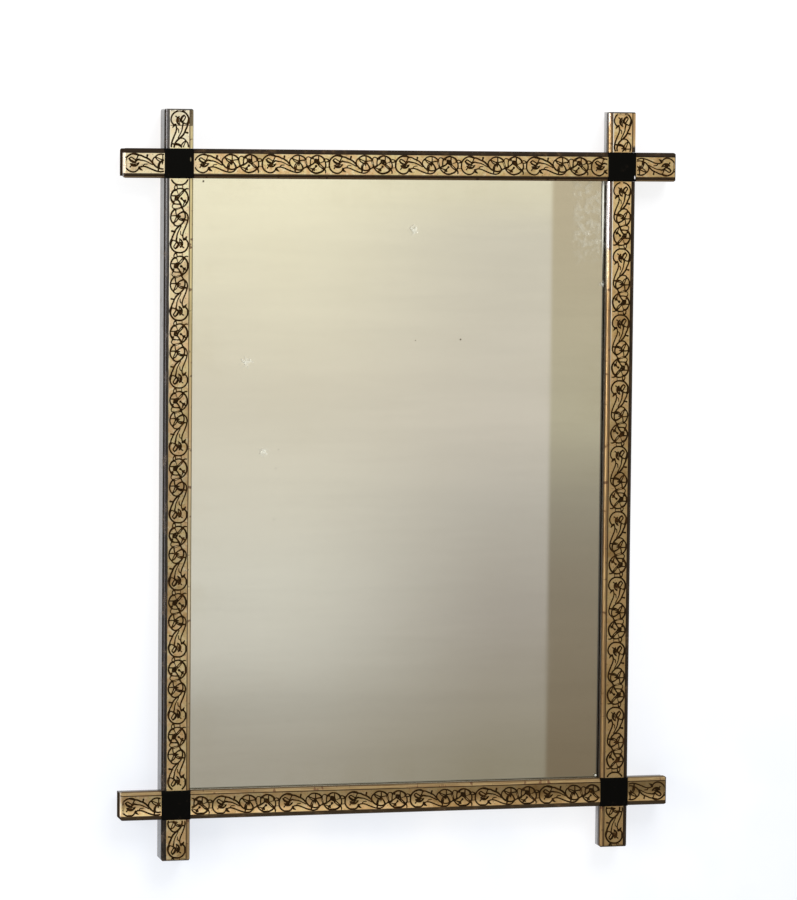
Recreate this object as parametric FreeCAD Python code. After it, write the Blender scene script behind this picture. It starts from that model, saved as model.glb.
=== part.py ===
import FreeCAD, Part
import math
import os

# A wall mirror in a crossed-corner frame, in millimetres.
# X runs to the viewer's right, Z up, and the front faces -Y.
# The origin is on the axis of the hanging ring, behind the top rail.

# Layout of the four mouldings
stile_spacing = 482.0
rail_spacing = 675.0
horn_length = 43.5

# How far each hand-cut horn differs from that length: low then high on a stile, left then right on a rail
left_stile_horns = (0.5, -2.2)
right_stile_horns = (1.2, -0.5)
top_rail_horns = (-0.5, 1.5)
bottom_rail_horns = (-0.1, 0.5)

# Section of one moulding
member_width = 31.0
member_depth = 24.0
flat_width = 21.0
groove_width = 1.0
groove_depth = 1.0
bevel_step = 0.3
bevel_drop = 3.5
bevel_crown = 0.4
arris_radius = 0.8
end_round = 2.6
horn_undercut = 2.0

# Half-lap joints and the corner blocks on them
lap_height = 10.0
lap_fit = 0.1
block_proud = 1.2
block_round = 1.4
dowel_radius = 3.0
dowel_in_block = 3.0
dowel_in_lap = 6.0
dowel_fit = 0.05

# Rebate, mirror plate and backboards
rebate_width = 7.0
sight_wall = 5.0
glass_thickness = 3.5
glass_clearance = 2.5
silver_thickness = 0.15
slip_length = 40.0
slip_inset = 110.0
board_thickness = 6.0
board_clearance = 1.0
board_joint = 0.6
board_chamfer = 0.8

# Headless nails that hold the backboards
sprig_radius = 0.9
sprig_length = 13.0
sprig_in_wood = 6.0
sprig_gap = 0.05
sprig_fit = 0.03
sprig_inset = 45.0

# Countersunk screws
corner_screw_offset = 7.0
corner_screw_shank = 1.75
corner_screw_head = 3.5
corner_screw_length = 16.0
hanger_screw_shank = 1.25
hanger_screw_head = 2.5
hanger_screw_length = 12.0
screw_tip_length = 2.5
screw_sink = 0.2
screw_slot_width = 0.8
screw_slot_depth = 0.7
screw_fit = 0.05

# Hanging plate and ring
plate_width = 12.0
plate_height = 22.0
plate_thickness = 1.2
plate_round = 2.0
barrel_wall = 1.3
ring_wire = 1.25
ring_fit = 0.05
ring_lie = 0.35
ring_side_gap = 1.0
ring_corner = 2.0
ring_reach = 10.5
plate_screw_offset = 7.2

# Places that follow from the sizes above
member_half = member_width / 2
rebate_depth = member_depth - bevel_drop - sight_wall
seat_height = member_depth - bevel_drop
ring_standoff = plate_thickness + ring_wire + ring_lie
back_y = -ring_standoff
top_rail_z = -rebate_width / 2
bottom_rail_z = top_rail_z - rail_spacing
middle_z = (top_rail_z + bottom_rail_z) / 2
stile_x = stile_spacing / 2
rebate_span_x = stile_spacing - member_width + 2 * rebate_width
rebate_span_z = rail_spacing - member_width + 2 * rebate_width
glass_span_x = rebate_span_x - 2 * glass_clearance
glass_span_z = rebate_span_z - 2 * glass_clearance
silver_back = rebate_depth - glass_thickness - silver_thickness
board_back = silver_back - board_thickness


def vector(x, height, z):
    """A point given by its height in front of the frame's back plane."""
    return FreeCAD.Vector(x, back_y - height, z)


def slab(centre_x, centre_z, span_x, span_z, low, high):
    """A box between two heights in front of the back plane."""
    corner = vector(centre_x - span_x / 2, high, centre_z - span_z / 2)
    return Part.makeBox(span_x, high - low, span_z, corner)


def crossings():
    """The four crossings, each with its name and its outward signs."""
    return [
        ("top_left", -stile_x, top_rail_z, -1, 1),
        ("top_right", stile_x, top_rail_z, 1, 1),
        ("bottom_left", -stile_x, bottom_rail_z, -1, -1),
        ("bottom_right", stile_x, bottom_rail_z, 1, -1),
    ]


def eased_ends(bar, low, high):
    """A bar along Z between two ends, with the front and side edges of the ends rounded."""
    envelope = Part.makeBox(member_width, member_depth, high - low, vector(-member_half, member_depth, low))
    soft = []
    for edge in envelope.Edges:
        middle = edge.CenterOfMass
        at_end = min(abs(middle.z - low), abs(middle.z - high)) < 1e-6
        at_back = abs(middle.y - back_y) < 1e-6
        if at_end and not at_back:
            soft.append(edge)
    return bar.common(envelope.makeFillet(end_round, soft))


def section(place):
    """A moulding's outline at a place along Z, with grooves and crowned bevels beside its flat."""
    flat = flat_width / 2
    shoulder = flat + groove_width
    bevel_top = member_depth - bevel_step
    bevel_run = member_half - shoulder
    bevel_fall = bevel_top - seat_height
    slope = math.hypot(bevel_run, bevel_fall)
    crown_across = (member_half + shoulder) / 2 + bevel_crown * bevel_fall / slope
    crown_height = (bevel_top + seat_height) / 2 + bevel_crown * bevel_run / slope
    groove_floor = member_depth - groove_depth
    edges = []
    for sign in (-1, 1):
        side = [(member_half, 0), (member_half, seat_height)]
        inner = [(shoulder, bevel_top), (shoulder, groove_floor), (flat, groove_floor), (flat, member_depth)]
        for run in (side, inner):
            points = [vector(sign * across, height, place) for across, height in run]
            edges.extend(Part.LineSegment(a, b).toShape() for a, b in zip(points, points[1:]))
        crown = [side[1], (crown_across, crown_height), inner[0]]
        edges.append(Part.Arc(*[vector(sign * across, height, place) for across, height in crown]).toShape())
    for half, height in ((member_half, 0), (flat, member_depth)):
        edges.append(Part.LineSegment(vector(-half, height, place), vector(half, height, place)).toShape())
    return Part.Face(Part.Wire(Part.sortEdges(edges)[0]))


def moulding(low, high):
    """One moulding along Z between two ends, with its back in the back plane."""
    bar = section(low).extrude(FreeCAD.Vector(0, 0, high - low))
    arris_y = back_y - seat_height
    arrises = []
    for edge in bar.Edges:
        middle = edge.CenterOfMass
        if abs(abs(middle.x) - member_half) < 1e-6 and abs(middle.y - arris_y) < 1e-6:
            arrises.append(edge)
    return eased_ends(bar.makeFillet(arris_radius, arrises), low, high)


def countersunk(head_radius, shank_radius, length, grow):
    """A screw along +Y from a head at the origin, or its hole when grow is above 0."""
    head_height = head_radius - shank_radius
    start = FreeCAD.Vector(0, 0, 0)
    along = FreeCAD.Vector(0, 1, 0)
    head = Part.makeCone(head_radius + grow, shank_radius + grow, head_height, start, along)
    body_length = length - screw_tip_length
    body = Part.makeCylinder(shank_radius + grow, body_length, start, along)
    tip_start = FreeCAD.Vector(0, body_length, 0)
    tip_radius = shank_radius / 4 + grow
    tip = Part.makeCone(shank_radius + grow, tip_radius, screw_tip_length + grow, tip_start, along)
    return head.fuse([body, tip]).removeSplitter()


def slotted_screw(head_radius, shank_radius, length):
    """A countersunk screw with a straight driver slot across its head."""
    screw = countersunk(head_radius, shank_radius, length, 0)
    slot_corner = FreeCAD.Vector(-head_radius, 0, -screw_slot_width / 2)
    slot = Part.makeBox(2 * head_radius, screw_slot_depth, screw_slot_width, slot_corner)
    return screw.cut(slot)


def screw_hole(head_radius, shank_radius, length):
    """The hole for a screw, with a straight mouth over the sunk head."""
    hole = countersunk(head_radius, shank_radius, length, screw_fit)
    mouth_start = FreeCAD.Vector(0, -screw_sink, 0)
    mouth = Part.makeCylinder(head_radius + screw_fit, screw_sink, mouth_start, FreeCAD.Vector(0, 1, 0))
    return hole.fuse(mouth).removeSplitter()


def from_behind(shape, x, y, z):
    """A shape made along +Y, turned to go in from the back and put with its head at a point."""
    turned = shape.copy()
    turned.rotate(FreeCAD.Vector(0, 0, 0), FreeCAD.Vector(0, 0, 1), 180)
    turned.translate(FreeCAD.Vector(x, y, z))
    return turned


def corner_screw_places():
    """Screw places at the crossings, towards the outer corners."""
    places = []
    for name, x, z, out_x, out_z in crossings():
        places.append((x + out_x * corner_screw_offset, z + out_z * corner_screw_offset))
    return places


def corner_screw_parts(make):
    """The four corner screws, or their holes, for the maker given."""
    shape = make(corner_screw_head, corner_screw_shank, corner_screw_length)
    return [from_behind(shape, x, back_y - screw_sink, z) for x, z in corner_screw_places()]


def dowel(x, z, grow):
    """A dowel that ties a corner block to the lap under it, or its hole when grow is above 0."""
    start = vector(x, seat_height - dowel_in_lap - grow, z)
    length = dowel_in_lap + dowel_in_block + 2 * grow
    return Part.makeCylinder(dowel_radius + grow, length, start, FreeCAD.Vector(0, -1, 0))


def dowels(grow):
    """The dowels, or their holes, at all the crossings."""
    return [dowel(x, z, grow) for name, x, z, out_x, out_z in crossings()]


def sprig_places():
    """Inner end and outward direction of each headless nail, on all four sides of the rebate."""
    reach = sprig_length - sprig_in_wood
    side = rebate_span_x / 2 - reach
    end = rebate_span_z / 2 - reach
    plank = (rebate_span_z - 2 * board_clearance + board_joint) / 3
    places = []
    for sign in (-1, 1):
        for plank_number in (-1, 0, 1):
            for step in (-1, 1):
                z = middle_z + plank_number * plank + step * (plank / 2 - sprig_inset)
                places.append((sign * side, z, sign, 0))
        for step in (-1, 1):
            x = step * (rebate_span_x / 2 - sprig_inset)
            places.append((x, middle_z + sign * end, 0, sign))
    return places


def sprigs(grow):
    """The headless nails, or their holes when grow is above 0."""
    height = board_back - sprig_radius - sprig_gap
    shapes = []
    for x, z, out_x, out_z in sprig_places():
        direction = FreeCAD.Vector(out_x, 0, out_z)
        start = vector(x, height, z)
        shapes.append(Part.makeCylinder(sprig_radius + grow, sprig_length + grow, start, direction))
    return shapes


def hanger_screw_parts(make):
    """The two screws of the hanging plate, or their holes, for the maker given."""
    shape = make(hanger_screw_head, hanger_screw_shank, hanger_screw_length)
    head_y = back_y + plate_thickness - screw_sink
    return [from_behind(shape, 0, head_y, sign * plate_screw_offset) for sign in (-1, 1)]


def rebate():
    """The space behind the sight edge that takes the plate and the boards."""
    return slab(0, middle_z, rebate_span_x, rebate_span_z, 0, rebate_depth)


def stile(sign, horns):
    """An upright: it keeps its back half at the two crossings."""
    low = bottom_rail_z - member_half - horn_length - horns[0]
    high = top_rail_z + member_half + horn_length + horns[1]
    bar = moulding(low, high)
    bar.translate(FreeCAD.Vector(sign * stile_x, 0, 0))
    cuts = [rebate()]
    inner_x = sign * (stile_x - member_half + horn_undercut / 2)
    for rail_z, out in ((top_rail_z, 1), (bottom_rail_z, -1)):
        span = member_width + 2 * lap_fit
        cuts.append(slab(sign * stile_x, rail_z, 2 * member_width, span, lap_height, 2 * member_depth))
        horn_z = rail_z + out * (member_half + horn_length)
        cuts.append(slab(inner_x, horn_z, horn_undercut, 2 * horn_length, 0, rebate_depth))
    return bar.cut(cuts + corner_screw_parts(screw_hole) + sprigs(sprig_fit))


def rail(rail_z, horns):
    """A level member: it keeps its front half at the crossings, flat on top for the corner blocks."""
    low = -stile_x - member_half - horn_length - horns[0]
    high = stile_x + member_half + horn_length + horns[1]
    bar = moulding(low, high)
    bar.rotate(FreeCAD.Vector(0, 0, 0), FreeCAD.Vector(0, 1, 0), 90)
    bar.translate(FreeCAD.Vector(0, 0, rail_z))
    cuts = [rebate()]
    out_z = 1 if rail_z > middle_z else -1
    inner_z = rail_z - out_z * (member_half - horn_undercut / 2)
    for sign in (-1, 1):
        span = member_width + 2 * lap_fit
        cuts.append(slab(sign * stile_x, rail_z, span, 2 * member_width, -member_depth, lap_height))
        cuts.append(slab(sign * stile_x, rail_z, span, 2 * member_width, seat_height, 2 * member_depth))
        horn_x = sign * (stile_x + member_half + horn_length)
        cuts.append(slab(horn_x, inner_z, 2 * horn_length, horn_undercut, 0, rebate_depth))
    holes = corner_screw_parts(screw_hole) + sprigs(sprig_fit) + dowels(dowel_fit)
    if rail_z == top_rail_z:
        holes = holes + hanger_screw_parts(screw_hole)
    return bar.cut(cuts + holes)


def corner_block(x, z):
    """A square block on a crossing, with its front edges and upright corners rounded."""
    front = member_depth + block_proud
    block = slab(x, z, member_width, member_width, seat_height, front)
    soft = []
    for edge in block.Edges:
        if abs(edge.CenterOfMass.y - (back_y - front)) < 1e-6:
            soft.append(edge)
    return block.makeFillet(block_round, soft).cut(dowel(x, z, dowel_fit))


def glass_slips():
    """Slips that fill the space between the plate's edges and the rebate."""
    low = rebate_depth - glass_thickness
    slips = []
    for sign in (-1, 1):
        side_x = sign * (glass_span_x + glass_clearance) / 2
        end_z = middle_z + sign * (glass_span_z + glass_clearance) / 2
        for step in (-1, 1):
            z = middle_z + step * (glass_span_z / 2 - slip_inset)
            x = step * (glass_span_x / 2 - slip_inset)
            slips.append(slab(side_x, z, glass_clearance, slip_length, low, rebate_depth))
            slips.append(slab(x, end_z, slip_length, glass_clearance, low, rebate_depth))
    return Part.makeCompound(slips)


def backboard(plank_number):
    """One plank, from -1 at the bottom to 1 at the top, with its back edges eased."""
    span_x = rebate_span_x - 2 * board_clearance
    pitch = (rebate_span_z - 2 * board_clearance + board_joint) / 3
    plank = slab(0, middle_z + plank_number * pitch, span_x, pitch - board_joint, board_back, silver_back)
    back_edges = []
    for edge in plank.Edges:
        if abs(edge.CenterOfMass.y - (back_y - board_back)) < 1e-6:
            back_edges.append(edge)
    return plank.makeChamfer(board_chamfer, back_edges)


def hanger_plate():
    """A strap on the back of the top rail, with a barrel for the ring across its middle."""
    corner = FreeCAD.Vector(-plate_width / 2, back_y, -plate_height / 2)
    plate = Part.makeBox(plate_width, plate_thickness, plate_height, corner)
    corners = [edge for edge in plate.Edges if abs(edge.tangentAt(edge.FirstParameter).y) > 0.5]
    plate = plate.makeFillet(plate_round, corners)
    bore_radius = ring_wire + ring_fit
    start = FreeCAD.Vector(-plate_width / 2, 0, 0)
    along = FreeCAD.Vector(1, 0, 0)
    barrel = Part.makeCylinder(bore_radius + barrel_wall, plate_width, start, along)
    bore = Part.makeCylinder(bore_radius, plate_width, start, along)
    return plate.fuse(barrel).cut([bore] + hanger_screw_parts(screw_hole)).removeSplitter()


def hanger_ring():
    """A D-ring of round wire: its straight bar lies in the barrel and its loop hangs down."""
    side = plate_width / 2 + ring_side_gap + ring_wire
    drop = ring_reach - side
    turn = ring_corner * (1 - math.sqrt(0.5))

    def point(x, z):
        return FreeCAD.Vector(x, 0, z)

    bar_end = side - ring_corner
    edges = [
        Part.LineSegment(point(-bar_end, 0), point(bar_end, 0)).toShape(),
        Part.Arc(point(bar_end, 0), point(side - turn, -turn), point(side, -ring_corner)).toShape(),
        Part.LineSegment(point(side, -ring_corner), point(side, -drop)).toShape(),
        Part.Arc(point(side, -drop), point(0, -ring_reach), point(-side, -drop)).toShape(),
        Part.LineSegment(point(-side, -drop), point(-side, -ring_corner)).toShape(),
        Part.Arc(point(-side, -ring_corner), point(-side + turn, -turn), point(-bar_end, 0)).toShape(),
    ]
    path = Part.Wire(edges)
    start = Part.Circle(point(-bar_end, 0), FreeCAD.Vector(1, 0, 0), ring_wire).toShape()
    return path.makePipeShell([Part.Wire([start])], True, False)


def parts():
    """Every piece of the mirror by its name."""
    pieces = {
        "left_stile": stile(-1, left_stile_horns),
        "right_stile": stile(1, right_stile_horns),
        "top_rail": rail(top_rail_z, top_rail_horns),
        "bottom_rail": rail(bottom_rail_z, bottom_rail_horns),
    }
    for name, x, z, out_x, out_z in crossings():
        pieces["corner_block_" + name] = corner_block(x, z)
    glass_back = rebate_depth - glass_thickness
    pieces["mirror_glass"] = slab(0, middle_z, glass_span_x, glass_span_z, glass_back, rebate_depth)
    pieces["silvering"] = slab(0, middle_z, glass_span_x, glass_span_z, silver_back, glass_back)
    pieces["glass_slips"] = glass_slips()
    for plank_number, name in ((1, "upper"), (0, "middle"), (-1, "lower")):
        pieces["backboard_" + name] = backboard(plank_number)
    pieces["backboard_sprigs"] = Part.makeCompound(sprigs(0))
    pieces["block_dowels"] = Part.makeCompound(dowels(0))
    pieces["corner_screws"] = Part.makeCompound(corner_screw_parts(slotted_screw))
    pieces["hanger_plate"] = hanger_plate()
    pieces["hanger_ring"] = hanger_ring()
    pieces["hanger_screws"] = Part.makeCompound(hanger_screw_parts(slotted_screw))
    return pieces


os.makedirs("parts", exist_ok=True)
for node, shape in parts().items():
    shape.exportStep(os.path.join("parts", node + ".step"))
    print(node, len(shape.Solids), round(shape.Volume), shape.isValid())
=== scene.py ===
import math
import random

import bpy
from mathutils import Matrix, Vector


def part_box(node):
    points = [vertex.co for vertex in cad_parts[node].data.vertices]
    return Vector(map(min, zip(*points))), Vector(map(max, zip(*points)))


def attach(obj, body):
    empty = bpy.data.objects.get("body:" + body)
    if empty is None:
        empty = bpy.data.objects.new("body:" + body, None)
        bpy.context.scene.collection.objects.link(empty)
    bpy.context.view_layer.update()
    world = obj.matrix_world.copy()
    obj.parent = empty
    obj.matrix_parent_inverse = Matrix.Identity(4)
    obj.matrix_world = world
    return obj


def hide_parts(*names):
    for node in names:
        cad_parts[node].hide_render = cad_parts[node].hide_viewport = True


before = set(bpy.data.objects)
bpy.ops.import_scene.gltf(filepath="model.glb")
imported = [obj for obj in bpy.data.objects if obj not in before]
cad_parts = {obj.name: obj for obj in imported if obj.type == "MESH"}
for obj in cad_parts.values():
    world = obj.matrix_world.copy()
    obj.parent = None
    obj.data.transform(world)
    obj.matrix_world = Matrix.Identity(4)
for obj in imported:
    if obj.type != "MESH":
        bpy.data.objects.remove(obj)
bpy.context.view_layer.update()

# Sizes of the frame that the looks follow, in metres
MM = 0.001
FRAME_BODY = "frame"
STILES = ("left_stile", "right_stile")
RAILS = ("top_rail", "bottom_rail")
BLOCKS = ("top_left", "top_right", "bottom_left", "bottom_right")
FLAT_HALF = 10.5 * MM
GROOVE_WIDTH = 1 * MM
END_ROUND = 2.6 * MM
# Where the inner bevel starts, outward from a member's middle line
BEVEL_START = -(FLAT_HALF + GROOVE_WIDTH)

left_low, left_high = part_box("left_stile")
right_low, right_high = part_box("right_stile")
top_low, top_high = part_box("top_rail")
bottom_low, bottom_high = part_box("bottom_rail")
silver_low, silver_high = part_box("silvering")
glass_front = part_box("mirror_glass")[0][1]
FRONT_Y = left_low[1]
MEMBER_WIDTH = left_high[0] - left_low[0]
STILE_X = (right_low[0] + right_high[0]) / 2
SIGHT_X = STILE_X - MEMBER_WIDTH / 2
TOP_Z = (top_low[2] + top_high[2]) / 2
BOTTOM_Z = (bottom_low[2] + bottom_high[2]) / 2
MIDDLE_Z = (TOP_Z + BOTTOM_Z) / 2
RAIL_HALF = (TOP_Z - BOTTOM_Z) / 2


# Shader helpers


def rgba(value):
    """A colour of three numbers, or a grey of one, with full alpha."""
    if isinstance(value, float):
        value = (value, value, value)
    return (*value, 1.0)


class Shader:
    """The nodes of a material or of the world, with short calls for those it needs."""

    def __init__(self, owner, output="OutputMaterial"):
        self.owner = owner
        owner.use_nodes = True
        self.tree = owner.node_tree
        self.tree.nodes.clear()
        self.output = self.node(output)

    def set(self, socket, value):
        if isinstance(value, bpy.types.NodeSocket):
            self.tree.links.new(value, socket)
        elif value is not None:
            socket.default_value = rgba(value) if socket.type == "RGBA" else value

    def node(self, kind, settings=None, **inputs):
        node = self.tree.nodes.new("ShaderNode" + kind)
        for key, value in (settings or {}).items():
            setattr(node, key, value)
        for key, value in inputs.items():
            self.set(node.inputs[key.replace("_", " ")], value)
        return node

    def math(self, operation, first, second=None, third=None):
        node = self.node("Math", {"operation": operation})
        for socket, value in zip(node.inputs, (first, second, third)):
            self.set(socket, value)
        return node.outputs[0]

    def plus(self, first, second):
        return self.math("ADD", first, second)

    def minus(self, first, second):
        return self.math("SUBTRACT", first, second)

    def apart(self, first, second):
        """How far apart two values are."""
        return self.math("ABSOLUTE", self.minus(first, second))

    def times(self, first, *others):
        """The product of several values."""
        for other in others:
            first = self.math("MULTIPLY", first, other)
        return first

    def most(self, first, *others):
        """The largest of several values."""
        for other in others:
            first = self.math("MAXIMUM", first, other)
        return first

    def coordinates(self, kind="Object"):
        return self.node("TexCoord").outputs[kind]

    def split(self, vector):
        return self.node("SeparateXYZ", Vector=vector).outputs[:3]

    def join(self, x, y, z):
        return self.node("CombineXYZ", X=x, Y=y, Z=z).outputs[0]

    def length(self, across, up):
        """The length of a line that goes so far across and so far up."""
        line = self.join(across, 0.0, up)
        return self.node("VectorMath", {"operation": "LENGTH"}, Vector=line).outputs["Value"]

    def stretch(self, vector, scale):
        return self.node("Mapping", Vector=vector, Scale=scale).outputs[0]

    def noise(self, vector, scale, detail=3.0, roughness=0.5, distortion=0.0):
        node = self.node("TexNoise", Vector=vector, Scale=scale, Detail=detail,
                         Roughness=roughness, Distortion=distortion)
        return node.outputs["Fac"]

    def spots(self, vector, scale):
        return self.node("TexVoronoi", Vector=vector, Scale=scale).outputs["Distance"]

    def band(self, value, low, high, start=0.0, end=1.0):
        """A smooth step from start at low to end at high."""
        node = self.node("MapRange", {"interpolation_type": "SMOOTHSTEP"}, Value=value,
                         From_Min=low, From_Max=high, To_Min=start, To_Max=end)
        return node.outputs["Result"]

    def fall(self, value, low, high):
        """A smooth step from 1 at low to 0 at high."""
        return self.band(value, low, high, 1.0, 0.0)

    def scale_to(self, value, low, high):
        """A value from 0 to 1 spread between two limits."""
        return self.math("MULTIPLY_ADD", value, high - low, low)

    def mix(self, factor, first, second, blend="MIX"):
        node = self.node("Mix", {"data_type": "RGBA", "blend_type": blend})
        self.set(node.inputs[0], factor)
        self.set(node.inputs[6], first)
        self.set(node.inputs[7], second)
        return node.outputs[2]

    def tint(self, first, second):
        """One colour times another."""
        return self.mix(1.0, first, second, blend="MULTIPLY")

    def between(self, factor, first, second):
        """A plain number between two others."""
        node = self.node("Mix", {"data_type": "FLOAT"})
        for socket, value in zip(node.inputs[0:1] + node.inputs[2:4], (factor, first, second)):
            self.set(socket, value)
        return node.outputs[0]

    def ramp(self, value, stops):
        """Colours along a value: each stop is its value and its colour or grey, from the lowest up."""
        low, high = stops[0][0], stops[-1][0]
        node = self.node("ValToRGB")
        self.set(node.inputs[0], self.math("DIVIDE", self.minus(value, low), high - low))
        marks = node.color_ramp.elements
        while len(marks) < len(stops):
            marks.new(0.5)
        for mark, (place, colour) in zip(marks, stops):
            mark.position = (place - low) / (high - low)
            mark.color = rgba(colour)
        return node.outputs[0]

    def bump(self, height, strength, distance):
        return self.node("Bump", Height=height, Strength=strength, Distance=distance).outputs[0]

    def show(self, shader):
        self.set(self.output.inputs["Surface"], shader.outputs[0])
        return self.owner

    def surface(self, **inputs):
        return self.show(self.node("BsdfPrincipled", **inputs))

    def glow(self, colour, strength):
        return self.node("Emission", Color=colour, Strength=strength)

    def blend(self, factor, first, second):
        """One shader over another."""
        node = self.node("MixShader")
        self.set(node.inputs[0], factor)
        self.set(node.inputs[1], first.outputs[0])
        self.set(node.inputs[2], second.outputs[0])
        return node


def new_material(name):
    return Shader(bpy.data.materials.new(name))


# Materials of the frame

# Painted light and shade on the leaf: how bright it is made by height and by place across the frame
LEAF_BY_HEIGHT = [(-0.74, 0.95), (-0.68, 0.97), (-0.62, 0.9), (-0.5, 0.95), (-0.41, 0.8), (-0.29, 0.82),
                  (-0.2, 1.0), (-0.1, 1.12), (0.06, 1.05)]
LEAF_ACROSS = [(-0.3, 1.04), (0.0, 1.0), (0.15, 0.91), (0.3, 0.84)]
# And down the bottom rail's flat, painted darker at its upper edge and lighter at its lower edge
LEAF_DOWN = [(-10 * MM, 0.66), (-2 * MM, 0.7), (2 * MM, (0.9, 0.88, 0.86)), (8 * MM, (1.1, 1.05, 0.98))]
# Painted shade: how much browner the leaf gets per metre to the right and per metre down
SHADE_ACROSS, SHADE_DOWN = 1.9, 1.35
# The ground of the left stile's inner bevel by height: dark at its foot, bright above
BRIGHT_BEVEL = [(-0.62, (0.42, 0.29, 0.14)), (-0.5, (1.0, 0.8, 0.5)), (-0.39, (1.0, 0.88, 0.58)),
                (-0.28, (0.95, 0.72, 0.4)), (-0.16, (1.0, 0.88, 0.48))]
# Each member's brightness of the leaf, painted lighter or darker near its low end, in its middle and near
# its high end, how far its gilding runs past the flat's outer edge, and the colour and shine of its ebonised
# sides
LOOKS = {"left_stile": ((1.06, 0.9, 1.04), -0.3 * MM, (0.009, 0.006, 0.004), 0.8),
         "right_stile": ((1.06, 1.15, 1.18), 0.5 * MM, (0.022, 0.014, 0.008), 0.06),
         "top_rail": ((0.97, 0.96, 1.04), 0.1 * MM, (0.022, 0.014, 0.008), 0.1),
         "bottom_rail": ((1.2, 1.1, 0.93), 0.9 * MM, (0.04, 0.027, 0.015), 0.06)}
BRIGHTNESS_PLACES = (0.1, 0.5, 0.9)

# How much the gilding's edge wanders
GILT_WANDER = 0.5 * MM
# What the gilding leaves bare at a stile's foot, at a rail's left end, which it covers, and at other ends
FOOT_BARE, LEFT_BARE, END_BARE = 1.0 * MM, -1.3 * MM, 1.0 * MM
GILT_FADE = 0.8 * MM
# How far back it laps over the rails' left ends, and where it thins out there
GILT_LAP, LAP_SOFT = 6.5 * MM, 1 * MM
# The top of the right stile's upper horn, gilt right across: from above the rail's middle
GILT_TIP = (20 * MM, 24 * MM)
# The patched end of the left stile's upper horn: the height of its seam
SEAM_Z = 36 * MM
# The left edge of the stiles' flats, with a painted highlight from the window in their upper part: its width
LIT_EDGE = 1.1 * MM
EDGE_SOFT, RAIL_SOFT = 0.2 * MM, 5 * MM

# Dirt and painted shade: how far they reach from a groove's middle and from the sight edge; dirt: how far it
# reaches from the seam; painted shade: where it deepens on the top rail's bevel, which faces down, and where
# it lies beside the right stile's groove
GROOVE_DIRT_AND_SHADE, LIP_DIRT_AND_SHADE, SEAM_DIRT = (0.4 * MM, 0.7 * MM), (0.9 * MM, 1.5 * MM), (0.3 * MM, 0.7 * MM)
DOWNWARD_SHADE, BESIDE_GROOVE_SHADE = (-2.6 * MM, -1.6 * MM), (-2.2 * MM, -1.0 * MM)
# The inner half of the right stile's inner bevel, and the bottom rail's lower half, which shines less
INNER_HALF, LOWER_HALF = (-2.5 * MM, -1.9 * MM), (0.0, 8 * MM)
# Where looks fade in or out, as a start and an end: by height, and to the right
PALE_UP, PALE_LEFT = (-250 * MM, -80 * MM), (-245 * MM, -190 * MM)
CREAM_UP = (12 * MM, 20 * MM)
# Where the painted highlight on the stiles' flats fades in, by height
LIT_UP = (-300 * MM, -100 * MM)
# Where the painted highlight on the right stile's inner bevel fades in, by height
HIGHLIGHT_UP = (-145 * MM, -110 * MM)
# Heights where the painted reflections on the right stile's bevel and arris fade in: under the block, and at
# the horn's tip
VARNISH_GLINT_UP, TIP_UP = (-95 * MM, -85 * MM), (36 * MM, 50 * MM)
# Where the painted reflection beside the right stile's glass gets paler, by height
REFLECTION_UP = (-120 * MM, -50 * MM)
# The right stile's wall beside the glass, with a painted reflection, and its arris, with a painted
# highlight: depth, and place across the member
REFLECTION_DEPTH, REFLECTION_OUT = (-17 * MM, -12 * MM), (-14 * MM, -12 * MM)
ARRIS_DEPTH, ARRIS_OUT = (-22.6 * MM, -22 * MM), (-15 * MM, -14.5 * MM)


class Moulding(Shader):
    """One member's material, which knows the places that its layers follow."""

    def __init__(self, node):
        super().__init__(bpy.data.materials.new("gilt_" + node))
        self.member = node
        self.upright = node in STILES
        self.shades, self.reach, self.black, self.shine = LOOKS[node]
        self.place = self.coordinates()
        self.x, self.y, self.z = self.split(self.place)
        if self.upright:
            self.outward = self.minus(self.math("ABSOLUTE", self.x), STILE_X)
            self.along, axis = self.z, 2
        else:
            self.outward = self.minus(self.apart(self.z, MIDDLE_Z), RAIL_HALF)
            self.along, axis = self.x, 0
        self.low, self.high = (corner[axis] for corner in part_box(node))
        normal = self.node("NewGeometry").outputs["True Normal"]
        self.sideways, backward, _ = self.split(normal)
        self.facing = self.times(backward, -1.0)
        self.from_bevel = self.minus(self.outward, BEVEL_START)
        self.on_bevel = self.fall(self.from_bevel, -EDGE_SOFT, EDGE_SOFT)
        self.patches = self.noise(self.place, 30.0, detail=4.0, roughness=0.6)
        self.fine = self.noise(self.place, 420.0, detail=3.0, roughness=0.7)
        self.flecks = self.band(self.fine, 0.57, 0.68)


def gilding(s):
    """Where gilding lies: what faces forward, to the flat's outer edge, and the rails' left ends."""
    wander = s.scale_to(s.noise(s.place, 90.0), -GILT_WANDER, GILT_WANDER)
    reach = FLAT_HALF + s.reach
    not_outer = s.fall(s.plus(s.outward, wander), reach - EDGE_SOFT, reach + 1.5 * EDGE_SOFT)
    if s.member == "right_stile":
        not_outer = s.most(not_outer, s.band(s.z, *(TOP_Z + above for above in GILT_TIP)))
    start = s.low + (FOOT_BARE if s.upright else LEFT_BARE)
    stop = s.high - END_BARE
    wandering = s.plus(s.along, wander)
    not_end = s.math("MINIMUM", s.band(wandering, start, start + GILT_FADE),
                     s.fall(wandering, stop - GILT_FADE, stop))
    gilt = s.times(s.band(s.facing, 0.3, 0.5), not_outer, not_end)
    if not s.upright:
        left_end = s.fall(s.sideways, -0.7, -0.5)
        lap_end = FRONT_Y + GILT_LAP
        lap = s.fall(s.y, lap_end, lap_end + LAP_SOFT)
        gilt = s.most(gilt, s.times(left_end, lap, not_outer))
    return gilt


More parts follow.
